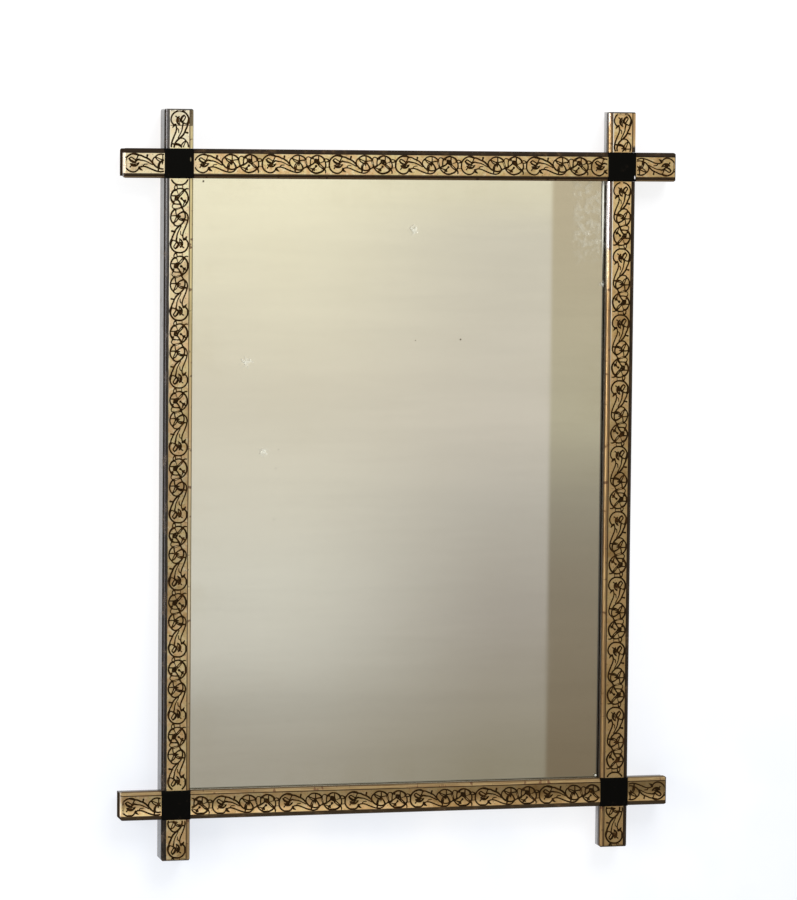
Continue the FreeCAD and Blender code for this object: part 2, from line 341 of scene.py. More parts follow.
def brightness(s):
    """How bright the leaf is made here: painted light and shade by height and across the frame, and along
    the member.
    """
    places = [s.low + share * (s.high - s.low) for share in BRIGHTNESS_PLACES]
    bright = s.tint(s.ramp(s.z, LEAF_BY_HEIGHT), s.ramp(s.x, LEAF_ACROSS))
    bright = s.tint(bright, s.ramp(s.along, list(zip(places, s.shades))))
    if s.member == "bottom_rail":
        bright = s.tint(bright, s.ramp(s.outward, LEAF_DOWN))
    return bright


def old_leaf(s):
    """Pale gold to peach, mottled, browner down to the right as painted shade, rubbed and flecked."""
    downward = s.times(s.minus(s.z, MIDDLE_Z), SHADE_DOWN)
    painted_shade = s.band(s.minus(s.times(s.x, SHADE_ACROSS), downward), -1.0, 1.0)
    mottle = s.noise(s.place, 190.0, detail=2.0, roughness=0.6)
    peach = s.band(s.noise(s.place, 70.0, detail=3.0), 0.4, 0.6)
    leaf = s.mix(peach, (0.88, 0.75, 0.43), (0.85, 0.61, 0.36))
    leaf = s.mix(s.band(mottle, 0.52, 0.66), leaf, (0.97, 0.86, 0.6))
    leaf = s.mix(s.times(s.fall(mottle, 0.34, 0.46), 0.55), leaf, (0.66, 0.43, 0.17))
    pale = s.times(s.fall(s.x, *PALE_LEFT), s.band(s.z, *PALE_UP))
    leaf = s.mix(s.times(pale, 0.6), leaf, (0.93, 0.86, 0.68))
    # Painted shade: browner down to the right
    leaf = s.mix(s.times(painted_shade, 0.75), leaf, (0.66, 0.45, 0.2))
    # Rubbed patches, more of them where the painted shade is
    rubbed = s.times(s.band(s.patches, 0.5, 0.7), s.scale_to(painted_shade, 0.55, 0.85))
    leaf = s.mix(rubbed, leaf, (0.42, 0.26, 0.1))
    leaf = s.mix(s.times(s.flecks, 0.65), leaf, (0.16, 0.08, 0.028))
    leaf = s.tint(leaf, brightness(s))
    if s.member == "left_stile":
        cream = s.times(s.band(s.z, *CREAM_UP), s.scale_to(peach, 0.9, 0.25))
        leaf = s.mix(cream, leaf, (1.0, 0.95, 0.78))
    return leaf


def bevels(s, leaf):
    """The bevels kept more of their ochre ground, in streaks, with hairline cracks across."""
    beside = s.most(s.on_bevel, s.band(s.outward, FLAT_HALF, FLAT_HALF + GROOVE_WIDTH / 2))
    ochre = (0.74, 0.53, 0.25) if s.member == "bottom_rail" else (0.74, 0.48, 0.2)
    ochre_share, streak_share = 0.7, 0.7
    if s.member == "left_stile":
        ochre = s.ramp(s.z, BRIGHT_BEVEL)
        ochre_share, streak_share = 0.9, 0.3
    leaf = s.mix(s.times(beside, ochre_share), leaf, ochre)
    streak_line = s.join(s.times(s.along, 14.0), s.times(s.outward, 1100.0), 0.0)
    streaks = s.times(beside, s.band(s.noise(streak_line, 1.0, detail=3.0), 0.44, 0.62))
    leaf = s.mix(s.times(streaks, streak_share), leaf, (0.26, 0.13, 0.05))
    crack_line = s.join(s.times(s.along, 130.0), s.times(s.outward, 60.0), 0.0)
    cracks = s.times(s.on_bevel, s.band(s.noise(crack_line, 1.0, detail=2.0), 0.61, 0.67))
    return s.mix(s.times(cracks, 0.85), leaf, (0.12, 0.045, 0.02)), cracks


def grime_and_shade(s):
    """Dirt and painted shade in grooves and at the sight edge, more painted shade on two bevels, dirt at the
    patched horn.
    """
    off_groove = s.apart(s.math("ABSOLUTE", s.outward), FLAT_HALF + GROOVE_WIDTH / 2)
    from_sight = s.plus(s.outward, MEMBER_WIDTH / 2)
    # Dirt and painted shade in the grooves and at the sight edge
    dirt_and_shade = s.times(s.fall(off_groove, *GROOVE_DIRT_AND_SHADE), 0.93)
    dirt_and_shade = s.most(dirt_and_shade, s.times(s.fall(from_sight, *LIP_DIRT_AND_SHADE), 0.8))
    if s.member == "top_rail":
        # Painted shade on the top rail's inner bevel, which faces down
        down_shade = s.band(s.from_bevel, *DOWNWARD_SHADE)
        dirt_and_shade = s.most(dirt_and_shade, s.times(s.on_bevel, s.scale_to(down_shade, 0.8, 1.0)))
    if s.member == "left_stile":
        seam = s.fall(s.apart(s.along, SEAM_Z), *SEAM_DIRT)
        patch = s.times(s.on_bevel, s.band(s.along, SEAM_Z - EDGE_SOFT, SEAM_Z + EDGE_SOFT))
        dirt_and_shade = s.most(dirt_and_shade, s.times(s.most(seam, patch), 0.85))
    if s.member == "right_stile":
        # Painted shade on the right stile's bevel beside its groove
        dirt_and_shade = s.most(dirt_and_shade, s.times(s.on_bevel, s.band(s.from_bevel, *BESIDE_GROOVE_SHADE), 0.7))
    return dirt_and_shade


def lit_edge(s):
    """The left edge of a stile's flat, with a painted highlight from the window."""
    to_right = s.outward if s.member == "right_stile" else s.times(s.outward, -1.0)
    from_edge = s.plus(to_right, FLAT_HALF)
    edge = s.times(s.band(from_edge, -EDGE_SOFT, 0.0), s.fall(from_edge, LIT_EDGE / 2, LIT_EDGE))
    return s.times(edge, s.band(s.z, *LIT_UP), 0.95)


def under_rail(s):
    """All that lies below the top rail's middle."""
    return s.fall(s.z, TOP_Z, TOP_Z + RAIL_SOFT)


def under_block(s):
    """The right stile's stretch just below its upper block."""
    return s.times(s.band(s.z, *VARNISH_GLINT_UP), under_rail(s))


def right_bevel(s, leaf):
    """The right stile's inner bevel: painted highlight high up, varnish and painted reflections under the
    block and at the tip.
    """
    inner_half = s.fall(s.from_bevel, *INNER_HALF)
    # Painted highlight on the inner half of the bevel, high up
    painted_highlight = s.times(s.band(s.z, *HIGHLIGHT_UP), under_rail(s), s.on_bevel, inner_half, 0.6)
    leaf = s.mix(painted_highlight, leaf, (1.0, 0.9, 0.62))
    # Painted reflections: a white glint on the inner half and a dark strip on the outer half
    horn_tip = s.times(s.band(s.z, *TIP_UP), 0.4)
    painted_glint = s.times(s.on_bevel, s.most(under_block(s), horn_tip))
    leaf = s.mix(s.times(painted_glint, 0.85), leaf, s.mix(inner_half, (0.1, 0.075, 0.08), (0.97, 0.93, 0.94)))
    return leaf, s.times(painted_glint, inner_half)


def ebony(s, worn):
    """Ebonised wood, rubbed brown, and on the right stile a painted pale reflection beside the glass and a
    painted highlight.
    """
    wear = s.times(worn, 0.4 if s.member == "left_stile" else 0.7)
    black = s.mix(wear, s.black, (0.12, 0.072, 0.032))
    if s.member == "right_stile":
        # Painted pale reflection on the wall beside the glass, paler higher up
        painted_reflection = s.times(s.band(s.y, *REFLECTION_DEPTH), s.fall(s.outward, *REFLECTION_OUT))
        reflection_tone = s.mix(s.band(s.z, *REFLECTION_UP), (0.4, 0.39, 0.4), (0.65, 0.64, 0.63))
        black = s.mix(s.times(painted_reflection, 0.85), black, reflection_tone)
        # Painted highlight on the arris under the block
        arris_highlight = s.times(s.fall(s.y, *ARRIS_DEPTH), s.fall(s.outward, *ARRIS_OUT))
        black = s.mix(s.times(arris_highlight, under_block(s)), black, (0.9, 0.86, 0.88))
    return black


def bare_back(s):
    """The wood behind, with its grain along the member."""
    stretch = (160, 160, 9) if s.upright else (9, 160, 160)
    grain = s.noise(s.stretch(s.place, stretch), 1.0, detail=5.0)
    return s.mix(grain, (0.16, 0.085, 0.04), (0.34, 0.2, 0.1))


def gilt_moulding(s):
    """All the layers, one over another."""
    gilt = gilding(s)
    leaf, cracks = bevels(s, old_leaf(s))
    dirt_and_shade = grime_and_shade(s)
    # Dirt and painted shade darken the leaf, most of all on the top rail
    leaf = s.mix(dirt_and_shade, leaf, (0.025, 0.013, 0.006) if s.member == "top_rail" else (0.05, 0.025, 0.01))
    lit, varnish = 0.0, 0.0
    if s.upright:
        lit = lit_edge(s)
        # Painted highlight on the left edge of the stiles' flats
        leaf = s.mix(lit, leaf, (1.0, 0.95, 0.84))
    if s.member == "right_stile":
        leaf, varnish = right_bevel(s, leaf)
    worn = s.band(s.noise(s.place, 60.0, detail=5.0, roughness=0.7), 0.52, 0.75)
    behind = s.fall(s.facing, -0.8, -0.6)
    colour = s.mix(gilt, s.mix(behind, ebony(s, worn), bare_back(s)), leaf)
    shine = s.shine
    if not s.upright:
        end_face = s.times(s.band(s.math("ABSOLUTE", s.sideways), 0.5, 0.7), s.minus(1.0, gilt))
        shine = s.between(end_face, shine, 0.0)
        colour = s.mix(s.times(end_face, 0.9), colour, (0.03, 0.02, 0.012))
    dull = s.most(s.flecks, dirt_and_shade, cracks)
    metal = s.times(gilt, s.scale_to(dull, 0.92, 0.3), s.scale_to(lit, 1.0, 0.6))
    if s.member == "bottom_rail":
        metal = s.times(metal, s.scale_to(s.band(s.outward, *LOWER_HALF), 1.0, 0.66))
    gilt_rough = s.between(varnish, s.scale_to(s.patches, 0.22, 0.42), 0.12)
    dark_rough = s.between(behind, s.scale_to(worn, 0.12, 0.4), 0.75)
    relief = s.plus(s.times(s.patches, 0.6), s.times(s.fine, 0.25))
    return s.surface(Base_Color=colour, Metallic=metal, Roughness=s.between(gilt, dark_rough, gilt_rough),
                     Specular_IOR_Level=s.between(gilt, shine, 0.3),
                     Normal=s.bump(relief, 0.2, 0.25 * MM))


# A painted glint on the top right block's lower right corner, and a dim gold mark on the top left block's
# right edge:
# across, up, half width, half height and colour
BLOCK_GLINT_AND_MARK = [(0.2548, -0.0146, 0.0007, 0.0022, (0.75, 0.72, 0.72)),
               (-0.2292, 0.0007, 0.0008, 0.0026, (0.16, 0.13, 0.07))]


def black_lacquer(name):
    """Deep black lacquer with fine scratches, rubbed brown in places, a painted glint and a gold mark."""
    s = new_material(name)
    place = s.coordinates()
    x, _, z = s.split(place)
    wear = s.band(s.noise(place, 120.0, detail=5.0, roughness=0.7), 0.6, 0.78)
    scratches = s.noise(s.stretch(place, (900, 900, 60)), 1.0, detail=2.0)
    colour = s.mix(s.times(wear, 0.4), (0.0024, 0.0023, 0.002), (0.02, 0.013, 0.008))
    ragged = s.scale_to(s.noise(place, 600.0), -0.4, 0.4)
    # The painted glint and the gold mark
    for across, up, half_width, half_height, mark in BLOCK_GLINT_AND_MARK:
        aside = s.math("DIVIDE", s.minus(x, across), half_width)
        above = s.math("DIVIDE", s.minus(z, up), half_height)
        reach = s.plus(s.length(aside, above), ragged)
        colour = s.mix(s.fall(reach, 0.5, 1.0), colour, mark)
    rough = s.math("MULTIPLY_ADD", wear, 0.25, s.scale_to(scratches, 0.12, 0.26))
    return s.surface(Base_Color=colour, Roughness=rough, Specular_IOR_Level=0.03,
                     Normal=s.bump(scratches, 0.05, 0.1 * MM))


def vine_ink(name):
    """Near-black lacquer lines, thin enough in places to go brown."""
    s = new_material(name)
    place = s.coordinates()
    thin = s.band(s.noise(place, 150.0, detail=4.0), 0.45, 0.75)
    colour = s.mix(s.times(thin, 0.8), (0.013, 0.006, 0.001), (0.05, 0.021, 0.004))
    return s.surface(Base_Color=colour, Roughness=s.scale_to(thin, 0.35, 0.55), Specular_IOR_Level=0.06,
                     Normal=s.bump(s.noise(place, 700.0), 0.1, 0.1 * MM))


# A chip on the glass: across, up and radius
GLASS_CHIP = (0.2224, -0.661, 0.0014)
# Pale smudges on the glass: across, up and radius
GLASS_SMUDGES = [(0.014, -0.072, 0.0045), (-0.1664, -0.2117, 0.0055), (-0.1473, -0.3062, 0.0048),
                 (0.2234, -0.1294, 0.003)]
# Where the dull film at the upper right fades in, by height and across
FILM_UP, FILM_ACROSS = (-115 * MM, -85 * MM), (186 * MM, 196 * MM)
# The painted highlight line beside the right sight edge: where it fades in and out before the edge, and in
# by height
GLINT_LINE_IN, GLINT_LINE_OUT, GLINT_LINE_UP = (-4.2 * MM, -3.0 * MM), (-2.3 * MM, -1.7 * MM), (-120 * MM, -50 * MM)


def old_glass(name):
    """Clear plate glass with a faint wave, a dull film, smudges, a chip and a painted highlight line at one
    edge.
    """
    s = new_material(name)
    place = s.coordinates()
    x, y, z = s.split(place)
    wave = s.noise(s.stretch(place, (3, 3, 5)), 1.0, detail=1.0)
    clear = s.node("BsdfPrincipled", Base_Color=(0.96, 0.97, 0.93), Roughness=0.0, IOR=1.5,
                   Transmission_Weight=1.0, Normal=s.bump(wave, 0.02, 1.0 * MM))
    blotches = s.band(s.noise(place, 150.0, detail=5.0, roughness=0.7), 0.42, 0.66)
    dust_and_glint = s.times(blotches, s.band(z, *FILM_UP), s.band(x, *FILM_ACROSS), 0.19)
    ragged = s.scale_to(s.noise(place, 330.0), -2.0, 2.0)
    for across, up, radius in GLASS_SMUDGES:
        reach = s.math("DIVIDE", s.length(s.minus(x, across), s.minus(z, up)), radius)
        smudge = s.fall(s.plus(reach, ragged), 0.1, 1.1)
        dust_and_glint = s.most(dust_and_glint, s.times(smudge, 0.42))
    across, up, radius = GLASS_CHIP
    chip = s.fall(s.length(s.minus(x, across), s.minus(z, up)), 0.6 * radius, radius)
    from_sight = s.minus(x, SIGHT_X)
    # A painted highlight line beside the right sight edge
    line = s.times(s.band(from_sight, *GLINT_LINE_IN), s.fall(from_sight, *GLINT_LINE_OUT), s.band(z, *GLINT_LINE_UP))
    dust_and_glint = s.most(dust_and_glint, s.times(chip, 0.9), line)
    front = s.fall(y, glass_front + 0.5 * MM, glass_front + 1.0 * MM)
    dust_and_glint_coat = s.node("BsdfDiffuse", Color=(0.9, 0.9, 0.78))
    return s.show(s.blend(s.times(dust_and_glint, front), clear, dust_and_glint_coat))


# Lost spots in the silver: across, up and radius
SILVER_SPECKS = [(0.0668, -0.1883, 0.0013), (-0.2133, -0.022, 0.0014), (0.0173, -0.1893, 0.0008)]
# How far in from its edges the silver is foxed
FOXED = (6 * MM, 50 * MM)


def silver_coat(name):
    """A bright coat that has gone hazy in streaks and foxed near the edges."""
    s = new_material(name)
    place = s.coordinates()
    x, _, z = s.split(place)
    side = s.minus(silver_high[0], s.math("ABSOLUTE", x))
    end = s.minus((silver_high[2] - silver_low[2]) / 2, s.apart(z, MIDDLE_Z))
    near_edge = s.fall(s.math("MINIMUM", side, end), *FOXED)
    cloud = s.noise(place, 14.0, detail=5.0, roughness=0.65)
    streaks = s.noise(s.stretch(place, (3, 3, 26)), 1.0, detail=4.0, roughness=0.6)
    haze = s.times(s.band(cloud, 0.42, 0.72), s.scale_to(near_edge, 0.2, 1.0))
    lost = s.times(s.fall(s.spots(place, 80.0), 0.05, 0.09),
                   s.band(s.noise(place, 11.0, detail=2.0), 0.64, 0.72))
    ragged = s.scale_to(s.noise(place, 900.0), -0.7 * MM, 0.7 * MM)
    for across, up, radius in SILVER_SPECKS:
        reach = s.plus(s.length(s.minus(x, across), s.minus(z, up)), ragged)
        lost = s.most(lost, s.fall(reach, 0.6 * radius, radius))
    colour = s.mix(s.band(streaks, 0.3, 0.7), (0.9, 0.9, 0.88), (0.94, 0.94, 0.92))
    colour = s.mix(s.times(haze, 0.3), colour, (0.8, 0.77, 0.68))
    colour = s.mix(s.times(lost, 0.85), colour, (0.16, 0.14, 0.1))
    rough = s.math("MULTIPLY_ADD", lost, 0.3, s.scale_to(haze, 0.01, 0.05))
    return s.surface(Base_Color=colour, Metallic=1.0, Roughness=rough)


# Materials of the back


def bare_wood(name, pale, dark, stretch, knots):
    """Old bare softwood with grain along its boards."""
    s = new_material(name)
    place = s.coordinates()
    grain = s.noise(s.stretch(place, stretch), 1.0, detail=8.0, roughness=0.6, distortion=0.6)
    streak = s.band(s.math("SINE", s.times(grain, 42.0)), -0.4, 1.0)
    stain = s.noise(place, 7.0, detail=5.0, roughness=0.6)
    colour = s.mix(streak, pale, dark)
    colour = s.mix(s.times(s.band(stain, 0.45, 0.75), 0.6), colour, (0.13, 0.085, 0.05))
    if knots:
        eye = s.spots(s.stretch(place, (5, 5, 14)), 1.0)
        colour = s.mix(s.fall(eye, 0.06, 0.11), colour, (0.1, 0.05, 0.02))
    relief = s.math("MULTIPLY_ADD", streak, 0.3, grain)
    return s.surface(Base_Color=colour, Roughness=s.scale_to(streak, 0.85, 0.62),
                     Normal=s.bump(relief, 0.35, 0.4 * MM))


def old_metal(name, bright, tarnish, metallic):
    """Metal that has darkened with age, with worn bright patches."""
    s = new_material(name)
    place = s.coordinates()
    age = s.band(s.noise(place, 240.0, detail=6.0, roughness=0.65), 0.36, 0.66)
    return s.surface(Base_Color=s.mix(age, bright, tarnish), Metallic=metallic,
                     Roughness=s.scale_to(age, 0.28, 0.6),
                     Normal=s.bump(s.noise(place, 900.0), 0.2, 0.1 * MM))


def dress(material, *nodes):
    """Gives carried-over solids their material."""
    for node in nodes:
        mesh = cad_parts[node].data
        mesh.materials.clear()
        mesh.materials.append(material)


def dress_frame():
    for node in STILES + RAILS:
        dress(gilt_moulding(Moulding(node)), node)
    dress(black_lacquer("corner_lacquer"), *["corner_block_" + corner for corner in BLOCKS])
    dress(old_glass("plate_glass"), "mirror_glass")
    pine = bare_wood("pine_board", (0.5, 0.33, 0.18), (0.27, 0.155, 0.07), (7, 60, 60), True)
    dress(pine, "backboard_upper", "backboard_middle", "backboard_lower")
    softwood = bare_wood("softwood", (0.55, 0.4, 0.24), (0.36, 0.23, 0.12), (60, 200, 60), False)
    dress(softwood, "glass_slips", "block_dowels")
    iron = old_metal("old_iron", (0.16, 0.14, 0.125), (0.07, 0.035, 0.02), 0.8)
    dress(iron, "backboard_sprigs", "corner_screws")
    brass = old_metal("old_brass", (0.66, 0.48, 0.2), (0.24, 0.15, 0.055), 1.0)
    dress(brass, "hanger_plate", "hanger_ring", "hanger_screws")


def new_piece(name, vertices, faces, material):
    mesh = bpy.data.meshes.new(name)
    mesh.from_pydata(vertices, [], faces)
    mesh.materials.append(material)
    mesh.update()
    piece = bpy.data.objects.new(name, mesh)
    bpy.context.scene.collection.objects.link(piece)
    return piece


BOX_FACES = [(0, 1, 3, 2), (4, 6, 7, 5), (0, 4, 5, 1), (2, 3, 7, 6), (0, 2, 6, 4), (1, 5, 7, 3)]
SILVER_BITE = 0.03 * MM


def silver():
    """The coat on the back of the glass, its front a hair inside the glass that it clings to."""
    (x0, y0, z0), (x1, y1, z1) = silver_low, silver_high
    corners = [(x, y, z) for x in (x0, x1) for y in (y0 - SILVER_BITE, y1) for z in (z0, z1)]
    piece = new_piece("silver_coat", corners, BOX_FACES, silver_coat("silver_coat"))
    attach(piece, FRAME_BODY)
    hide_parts("silvering")


# The vine that is drawn on the gilt flats

# Width of its line, depth let into the flat, height over it, and lift of each stroke over the one before
VINE_LINE = 1.48 * MM
VINE_SINK = 0.05 * MM
VINE_RISE = 0.03 * MM
VINE_LIFT = 0.001 * MM
# Gaps to the blocks and to the horns' ends, and how far past an end a point is still drawn in
VINE_MARGIN = 0.5 * MM
VINE_END = 1.4 * MM
VINE_SQUEEZE = 3 * MM
# Step between a stroke's points, and how far strokes slip and vary in weight
VINE_STEP = 0.9 * MM
VINE_SLIP = 0.2 * MM
VINE_WEIGHT = (0.88, 1.12)
VINE_SEED = 7

# One pitch of the vine, in millimetres: along the member, then across it, from the first ring's middle.
# Each stroke is its points and the share of the line's width at its start, middle and end.
VINE_STROKES = [
    # The upper stem, from the third ring's top down and round the first ring's bowl, with a thorn
    ([(-28.4, 9.7), (-23.1, 8.6), (-20.0, 8.1), (-16.9, 6.6), (-13.8, 5.4), (-11.0, 3.6), (-8.6, 1.2),
      (-6.8, -1.0), (-4.4, -3.4), (-1.6, -4.8), (2.0, -5.7), (5.0, -5.2), (6.6, -3.9)], (1.1, 1.3, 1.1)),
    ([(-14.1, 5.4), (-13.5, 8.5)], (1.4, 1.2, 1.5)),
    # The middle stem
    ([(-26.4, 1.6), (-24.6, 3.2), (-23.1, 3.8), (-20.0, 3.2), (-16.9, 2.8), (-13.6, 1.5), (-10.6, 0.0),
      (-8.0, -1.4)], (1.5, 0.9, 0.8)),
    # The lower stem with its bud and tendril, along the first ring's foot to the knot
    ([(-22.5, -4.3), (-20.0, -3.2), (-17.5, -3.0), (-14.4, -3.7), (-10.6, -5.3), (-6.9, -6.8),
      (-3.1, -8.0), (0.6, -8.5), (3.8, -7.7), (5.9, -5.9), (7.6, -3.9), (10.8, -2.2)], (1.0, 1.1, 1.1)),
    ([(-22.3, -4.2), (-21.4, -6.0), (-19.2, -7.4)], (1.6, 1.9, 0.7)),
    ([(-18.4, -3.2), (-17.0, -1.0), (-13.6, -0.6)], (0.7, 0.8, 0.6)),
    # The first ring's top, its leaf, its upright stem and its bowl
    ([(-7.6, 0.2), (-8.1, 3.0), (-7.0, 5.6), (-5.0, 7.2), (-3.0, 8.8), (0.0, 9.7), (3.2, 9.4),
      (6.3, 8.2), (8.9, 6.0)], (1.0, 1.1, 1.3)),
    ([(-4.8, 6.4), (-2.6, 5.5), (0.0, 4.3), (2.2, 3.6)], (0.8, 0.8, 1.0)),
    ([(-4.5, 5.7), (-3.5, 4.0), (-1.7, 2.6), (0.2, 1.7)], (0.9, 0.9, 1.0)),
    ([(2.3, 9.2), (2.5, 6.4), (2.4, 3.6)], (0.9, 0.9, 1.2)),
    ([(2.6, 3.7), (5.2, 4.4), (8.2, 4.8), (9.4, 5.4)], (0.9, 0.9, 1.2)),
    ([(-2.4, -4.4), (-2.4, -2.2), (-1.6, 0.2), (-0.2, 1.8), (2.0, 3.0)], (1.4, 0.9, 0.9)),
    ([(-1.2, -4.6), (-0.8, -2.2), (0.0, -0.2), (1.6, 2.2)], (1.4, 0.8, 0.9)),
    ([(3.0, 2.6), (4.2, 1.0), (5.4, -0.7), (6.3, -2.7), (6.8, -4.2)], (1.1, 1.1, 1.6)),
    ([(2.3, 2.2), (2.0, -0.7)], (1.2, 1.4, 0.9)),
    ([(-1.7, -5.0), (-2.0, -7.6)], (1.5, 1.3, 1.0)),
    # The fan between the first and the second ring
    ([(9.4, 5.2), (10.2, 2.8), (11.0, -0.4), (10.9, -2.0)], (0.8, 0.5, 0.9)),
    ([(8.2, 4.6), (9.2, 1.4), (10.6, -1.6)], (0.6, 0.4, 0.6)),
    ([(9.6, 6.4), (10.8, 7.8), (12.2, 8.2), (14.6, 7.2), (15.4, 6.6)], (0.8, 0.8, 1.2)),
    ([(14.8, 6.6), (14.3, 3.0), (14.4, -0.6)], (1.1, 0.9, 1.2)),
    ([(11.2, -2.0), (14.2, -0.9)], (1.2, 1.3, 1.7)),
    ([(14.6, -0.6), (17.0, 0.7), (19.4, 2.9)], (1.2, 1.1, 1.3)),
    # The second ring and its leaves
    ([(15.1, 6.4), (17.4, 8.2), (20.0, 9.5), (23.2, 9.6), (26.4, 8.3), (28.8, 6.3), (29.3, 4.2)],
      (1.7, 1.1, 1.7)),
    ([(29.4, 4.4), (30.4, 2.6), (30.9, 0.0), (30.6, -2.4), (29.4, -4.4)], (0.9, 1.0, 1.4)),
    ([(29.4, -4.4), (26.8, -7.0), (23.2, -8.5), (20.0, -8.9), (16.7, -7.9), (13.6, -5.7), (11.8, -3.5),
      (11.0, -2.2)], (1.4, 1.4, 1.0)),
    ([(29.8, -5.0), (30.8, -7.0), (30.6, -8.6)], (1.2, 1.0, 0.8)),
    ([(19.2, 5.6), (21.9, 4.9), (23.4, 3.0), (24.0, 0.9)], (1.0, 1.4, 1.1)),
    ([(19.0, 5.2), (19.2, 3.0), (21.2, 1.6), (23.4, 0.2)], (1.2, 1.4, 1.0)),
    ([(20.4, 4.4), (22.4, 2.4)], (1.0, 1.5, 1.0)),
    ([(23.2, 9.2), (23.1, 6.2), (23.0, 3.6)], (0.9, 0.9, 1.2)),
    ([(24.2, 0.8), (26.9, -1.6), (29.2, -4.0)], (0.9, 0.8, 1.2)),
    ([(23.0, -0.2), (26.0, -3.0), (28.8, -4.6)], (0.9, 0.8, 1.2)),
    ([(24.4, 1.6), (26.6, 2.6), (29.0, 3.4)], (0.5, 0.6, 0.8)),
    ([(17.8, -4.4), (19.2, -3.0), (20.4, -1.6)], (1.4, 0.8, 1.5)),
    ([(17.4, -4.9), (16.4, -6.9)], (1.4, 1.0, 1.0)),
    ([(11.6, -2.6), (14.2, -3.5), (16.6, -4.6)], (0.8, 0.7, 1.2)),
    # Links from the second to the third ring
    ([(29.6, 5.6), (31.6, 6.1), (33.6, 5.2), (35.0, 4.2)], (0.9, 0.8, 1.2)),
    ([(30.2, 3.0), (32.4, 3.2), (34.6, 4.0)], (0.8, 0.8, 1.4)),
    ([(30.8, -2.8), (34.6, -2.6)], (0.6, 0.5, 0.6)),
    # The third ring and its two leaves
    ([(48.6, 8.6), (46.6, 9.6), (43.8, 9.9), (40.2, 9.0), (37.2, 6.9), (35.3, 4.2), (34.7, 1.0),
      (34.8, -2.4), (36.2, -5.4), (38.5, -7.5), (41.3, -8.8), (44.4, -9.0), (47.2, -7.7), (48.6, -6.0),
      (49.3, -4.4)], (1.3, 1.2, 1.1)),
    ([(39.6, 5.4), (41.0, 6.2), (43.4, 4.8), (45.6, 3.4), (46.0, 2.0)], (1.0, 0.9, 1.0)),
    ([(38.9, 4.7), (41.1, 2.4), (44.8, 1.1)], (1.2, 1.6, 1.2)),
    ([(48.0, 8.0), (47.6, 6.0), (46.0, 3.2), (45.2, 1.8)], (0.8, 0.9, 1.0)),
    ([(40.6, -0.6), (42.4, -2.4), (45.6, -2.5), (48.0, -1.2), (49.2, 0.4)], (1.1, 1.5, 0.9)),
    ([(41.0, -0.6), (43.4, 0.6), (46.4, 0.2), (48.8, 0.2)], (0.8, 0.8, 0.7)),
    ([(42.4, -1.3), (45.4, -0.8)], (1.0, 1.4, 0.8)),
    ([(41.6, -2.0), (40.2, -4.0)], (0.9, 0.8, 1.0)),
]

# The round knots where its strokes meet: along, across and diameter
VINE_KNOTS = [
    (-23.3, 8.4, 2.3), (-23.1, 3.8, 1.8), (-8.6, 1.3, 2.1), (-5.0, 6.4, 2.2), (-1.6, -4.7, 2.3),
    (2.4, 3.4, 2.7), (9.3, 5.6, 2.0), (10.9, -2.1, 2.7), (14.3, -0.8, 2.0), (15.3, 6.6, 2.0),
    (17.8, -4.6, 2.5), (18.5, -5.8, 1.9), (20.5, -1.5, 2.4), (17.3, 6.4, 2.0), (29.2, 5.2, 2.0),
    (29.4, -4.5, 2.5), (34.8, 4.1, 2.0),
]
KNOT_SIDES = 12
KNOT_GROWTH = (1.0, 1.25)
# How close to a span's end a stroke and a knot may come, as shares of its width and of its radius
STROKE_HOLD, KNOT_HOLD = 0.49, 0.99

# Each member's vine: its middle line, the way it runs, the side that is its upper edge and its pitch, then
# for the near horn, the span between the blocks and the far horn: one first ring's place, 1 as drawn or
# -1 turned about, and the shift towards the upper edge. Pitch, place and shift are in millimetres.
VINE_RUNS = {
    "top_rail": ((0.0, TOP_Z), (1, 0), (0, 1), 71.86,
                 ((-261.1, 1, -0.2), (-43.6, 1, -0.2), (262.7, -1, 0.9))),
    "bottom_rail": ((0.0, BOTTOM_Z), (1, 0), (0, 1), 71.75,
                    ((-262.2, 1, -1.2), (-21.0, 1, -1.3), (261.6, -1, 0.5))),
    "left_stile": ((-STILE_X, 0.0), (0, -1), (1, 0), 70.75,
                   ((-14.6, 1, 0.0), (343.4, -1, 0.9), (698.5, -1, 1.0))),
    "right_stile": ((STILE_X, 0.0), (0, -1), (1, 0), 70.74,
                    ((-18.1, 1, -0.4), (339.5, 1, 0.1), (698.5, -1, 1.0))),
}

# The points that round off a stroke's end: place as a share of half its width, and share of its width
ROUND_END = ((0.5, 0.87), (0.87, 0.5), (0.98, 0.17))


def smooth_line(points, step):
    """Close points along a Catmull-Rom curve through the points given."""
    line = [Vector(p) for p in points]
    ends = [2 * line[0] - line[1]] + line + [2 * line[-1] - line[-2]]
    dense = []
    for before, start, end, after in zip(ends, ends[1:], ends[2:], ends[3:]):
        count = max(2, math.ceil((end - start).length / step))
        for number in range(count):
            t = number / count
            bend = (2 * start + (end - before) * t + (2 * before - 5 * start + 4 * end - after) * t * t
                    + (3 * start - before - 3 * end + after) * t ** 3)
            dense.append(bend / 2)
    return dense + [line[-1]]


def stroke_widths(shares, count):
    """The line's width along a stroke, from its shares at the start, middle and end."""
    widths = []
    for number in range(count):
        t = 2 * number / (count - 1)
        low, high = shares[:2] if t < 1 else shares[1:]
        widths.append(VINE_LINE * (low + (high - low) * (t if t < 1 else t - 1)))
    return widths


def motif_strokes():
    """The strokes of one pitch in metres, each a list of points and widths."""
    strokes = []
    for points, shares in VINE_STROKES:
        line = smooth_line([(a * MM, b * MM) for a, b in points], VINE_STEP)
        strokes.append(list(zip(line, stroke_widths(shares, len(line)))))
    return strokes


